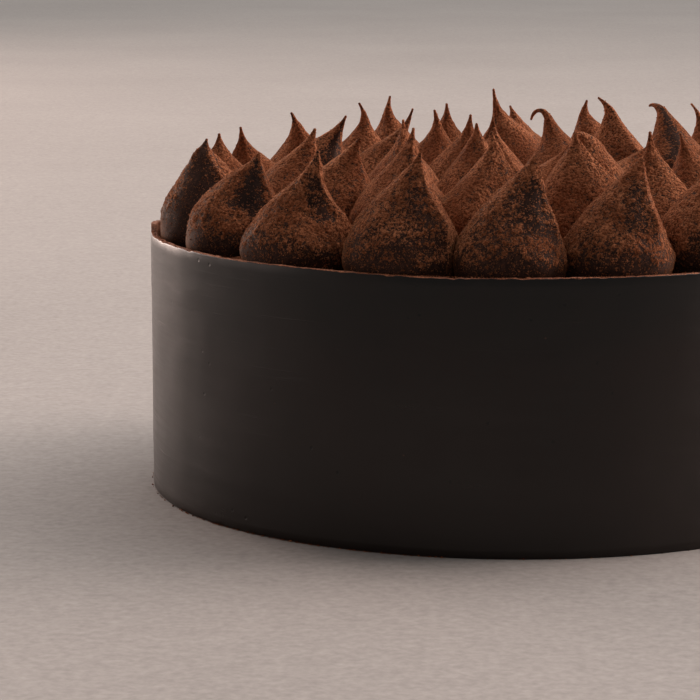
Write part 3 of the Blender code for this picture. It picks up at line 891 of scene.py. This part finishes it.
def dark_chocolate():
    """A poured strip of dark chocolate: satin, faintly smeared and pitted, its rim dusted."""
    finish = Finish("dark_chocolate")
    place = finish.place()
    mottle = finish.noise(place, per_metre=60, detail=4, roughness=0.6)
    smeared, scratched = finish.stretched(place, 10, 10, 130), finish.stretched(place, 16, 16, 900)
    smears = finish.noise(smeared, 1.0, detail=4, roughness=0.6, distortion=1.2)
    scratches = finish.noise(scratched, 1.0, detail=3, roughness=0.7, distortion=0.4).between(0.60, 0.72)
    scratches = scratches * finish.noise(place, per_metre=22).between(0.50, 0.62)
    pits = finish.spots(place, per_metre=260, edge=0.16, middle=0.06)
    pits = pits * finish.noise(place, per_metre=110, detail=1).between(0.60, 0.66)
    flecks = finish.spots(finish.stretched(place, 1, 1, 1.3), per_metre=330, edge=0.12, middle=0.05)
    flecks = flecks * finish.noise(place, per_metre=150, detail=1).between(0.66, 0.72)
    grain = finish.noise(place, per_metre=1500, roughness=0.6)
    ragged = finish.wobble(place, per_metre=1100, detail=3, roughness=0.65)
    powder = (finish.field("cocoa") * 1.3 + ragged * 1.5 - 0.1).between(0.42, 0.58)
    colour, grains = cocoa_colour(finish, place)

    # paler and warmer about the middle of its height, and greyer and paler lower down, where a reflection of
    # a pale surface below it is painted
    tide = finish.wobble(place, per_metre=30, detail=3, roughness=0.55) * 0.05
    height = finish.node("ShaderNodeSeparateXYZ", {}, {"Vector": place})["Z"] + tide
    middle = height.between(0.006, 0.028) * height.between(0.066, 0.048)
    warm = (mottle.between(0.35, 0.68) * 0.45 + middle * 0.65).clamped()
    strip = finish.blend(warm, CHOCOLATE, CHOCOLATE_WARM)
    # painted reflection: greyer and paler toward the band's foot
    strip = finish.blend((height.between(0.056, 0.018) * 0.6).clamped(), strip, CHOCOLATE_PAINTED_REFLECTION)
    strip = finish.blend((scratches * 0.5).clamped(), strip, CHOCOLATE_RUBBED)
    # painted shade in the pits
    strip = finish.blend((pits * 0.9).clamped(), strip, CHOCOLATE_PIT_SHADE)
    strip = finish.blend((flecks * 0.8).clamped(), strip, COCOA_FILM)

    relief = smears * 0.3 + mottle * 0.3 + grain * 0.10 - pits * 1.5 + scratches * 0.5 + powder * grains * 3.0
    roughness = powder * 0.5 + 0.35 + (smears - 0.5) * 0.34 + (mottle - 0.5) * 0.20 + scratches * 0.10
    return finish.made_of(
        Base_Color=finish.blend(powder, strip, colour),
        Roughness=roughness.clamped(),
        Specular_IOR_Level=0.34,
        Normal=finish.bump(relief, strength=0.35, distance=0.00012),
    )


def cocoa_crumb():
    """The cake's own top under a thick sifting of cocoa."""
    finish = Finish("cocoa_crumb")
    place = finish.place()
    ragged = finish.wobble(place, per_metre=900, detail=3, roughness=0.6)
    powder = (finish.field("cocoa") * 1.4 + ragged * 1.4).between(0.35, 0.6)
    colour, grains = cocoa_colour(finish, place)
    crumb = finish.noise(place, per_metre=500, detail=4, roughness=0.7)
    return finish.made_of(
        Base_Color=finish.blend(powder, finish.blend(crumb, CRUMB_DARK, CRUMB_PALE), colour),
        Roughness=powder * 0.2 + 0.75,
        Specular_IOR_Level=0.25,
        Normal=finish.bump(grains * 0.5 + crumb * 0.5, strength=0.9, distance=0.0003),
    )


def cocoa_grains():
    """Loose grains, each of its own tone."""
    finish = Finish("cocoa_grains")
    tone = finish.field("tone")
    colour = finish.blend(tone.between(0.0, 0.75), COCOA_DARK_TONE_AND_SHADE, COCOA)
    return finish.made_of(
        Base_Color=finish.blend(tone.between(0.7, 1.0), colour, COCOA_PALE_TONE_AND_HIGHLIGHT),
        Roughness=finish.noise(finish.place(), per_metre=2500, detail=1) * 0.2 + 0.78,
        Specular_IOR_Level=0.2,
    )


def pale_floor():
    """A plain pale warm grey, very softly mottled."""
    finish = Finish("pale_floor")
    place = finish.place()
    cloud = finish.wobble(place, per_metre=5, detail=3, roughness=0.6)
    fleck = finish.noise(place, per_metre=420, roughness=0.6)
    weave = finish.wobble(place, per_metre=130, roughness=0.7)
    tone = cloud * 0.4 + (fleck - 0.5) * 1.0 + weave * 0.5 + 0.5
    return finish.made_of(
        Base_Color=finish.blend(tone.clamped(), FLOOR_DARK, FLOOR_PALE),
        Roughness=fleck * 0.1 + 0.85,
        Specular_IOR_Level=0.2,
    )


# ======== studio
FLOOR_HALF = 14.0
# Each soft square light: where it stands, the spot that it faces, its width, its power and its colour
SOFT_LIGHTS = {
    "light_left": ((-1.45, 1.35, 0.50), (0, 0, 0.40), 1.0, 34, (1.0, 0.78, 0.69)),
    "light_side": ((-1.90, -0.25, 0.55), (0, 0, 0.40), 1.0, 4.5, (1.0, 0.80, 0.72)),
    "light_right": ((1.70, 0.45, 0.50), (0, 0, 0.40), 1.0, 33, (1.0, 0.78, 0.70)),
    "light_high_right": ((1.35, 0.60, 1.30), (0, 0, 0.08), 1.5, 18, (1.0, 0.88, 0.80)),
}
KEY_FALLS, KEY_POWER, KEY_SPREAD, KEY_COLOUR = (-0.42, -0.85, -0.95), 2.40, 85, (1.0, 0.97, 0.94)
ROOM_POWER, ROOM_COLOUR = 0.22, (1.0, 0.96, 0.93)
CAMERA_PLACE = (0, -0.813769, 0.176373)
CAMERA_YAW, CAMERA_PITCH, CAMERA_ROLL = -0.053682, 0.170166, 0.00160  # radians
LENS, SENSOR = 148.5, 36  # millimetres
NEAREST, FARTHEST = 0.01, 100


def floor():
    """A wide plain floor."""
    corners = np.array([[-1, -1, 0], [1, -1, 0], [1, 1, 0], [-1, 1, 0]]) * FLOOR_HALF
    piece = piece_of("floor", corners, [np.array([[0, 1, 2, 3]])], pale_floor())


def lamp(name, kind, power, colour, falls):
    """A light of this kind that falls in this direction."""
    data = bpy.data.lights.new(name, kind)
    data.energy = power
    data.color = colour
    light = bpy.data.objects.new(name, data)
    light.rotation_euler = Vector(falls).to_track_quat("-Z", "Y").to_euler()
    bpy.context.scene.collection.objects.link(light)
    return light


def lights():
    """A wide soft key light from behind, soft square lights at the sides, and a little light all round."""
    key = lamp("key", "SUN", KEY_POWER, KEY_COLOUR, KEY_FALLS)
    key.data.angle = math.radians(KEY_SPREAD)
    for name, (place, faces, width, power, colour) in SOFT_LIGHTS.items():
        light = lamp(name, "AREA", power, colour, Vector(faces) - Vector(place))
        light.data.shape = "SQUARE"
        light.data.size = width
        light.location = place
        light.visible_camera = False
    world = bpy.data.worlds.new("studio")
    world.use_nodes = True
    background = world.node_tree.nodes["Background"]
    background.inputs["Color"].default_value = (*ROOM_COLOUR, 1)
    background.inputs["Strength"].default_value = ROOM_POWER
    bpy.context.scene.world = world


def camera():
    """The photograph's view: from in front and a little above, turned a little to the left."""
    yaw, pitch, roll = CAMERA_YAW, CAMERA_PITCH, CAMERA_ROLL
    ahead = Vector((math.sin(yaw) * math.cos(pitch), math.cos(yaw) * math.cos(pitch), -math.sin(pitch)))
    level = Vector((math.cos(yaw), -math.sin(yaw), 0))
    over = level.cross(ahead)
    right = level * math.cos(roll) + over * math.sin(roll)
    top = over * math.cos(roll) - level * math.sin(roll)
    data = bpy.data.cameras.new("camera")
    data.lens = LENS
    data.sensor_width = SENSOR
    data.clip_start = NEAREST
    data.clip_end = FARTHEST
    eye = bpy.data.objects.new("camera", data)
    turn = Matrix((right, top, -ahead)).transposed()
    eye.matrix_world = Matrix.Translation(CAMERA_PLACE) @ turn.to_4x4()
    bpy.context.scene.collection.objects.link(eye)
    bpy.context.scene.camera = eye


def build():
    """The whole dressed cake in its studio."""
    bpy.context.scene.view_settings.view_transform = "Standard"
    ganache, grains = dusted_ganache(), cocoa_grains()
    band_piece(dark_chocolate())
    cake_piece(cocoa_crumb())
    peaks = all_peaks()
    surfaces = {peak.name: peak_piece(peak, peaks, ganache) for peak in peaks}
    lots = np.random.default_rng(GRAIN_SEED)
    front = [surfaces[name] for name in FRONT_PEAKS]
    grains_on_peaks("grains_on_front", front, FRONT_GRAINS, grains, lots)
    rest = [surface for name, surface in surfaces.items() if name not in FRONT_PEAKS]
    grains_on_peaks("grains_on_rest", rest, REST_GRAINS, grains, lots)
    rim_crumbs(grains, lots)
    foot_crumbs(grains, lots)
    floor()
    lights()
    camera()


build()
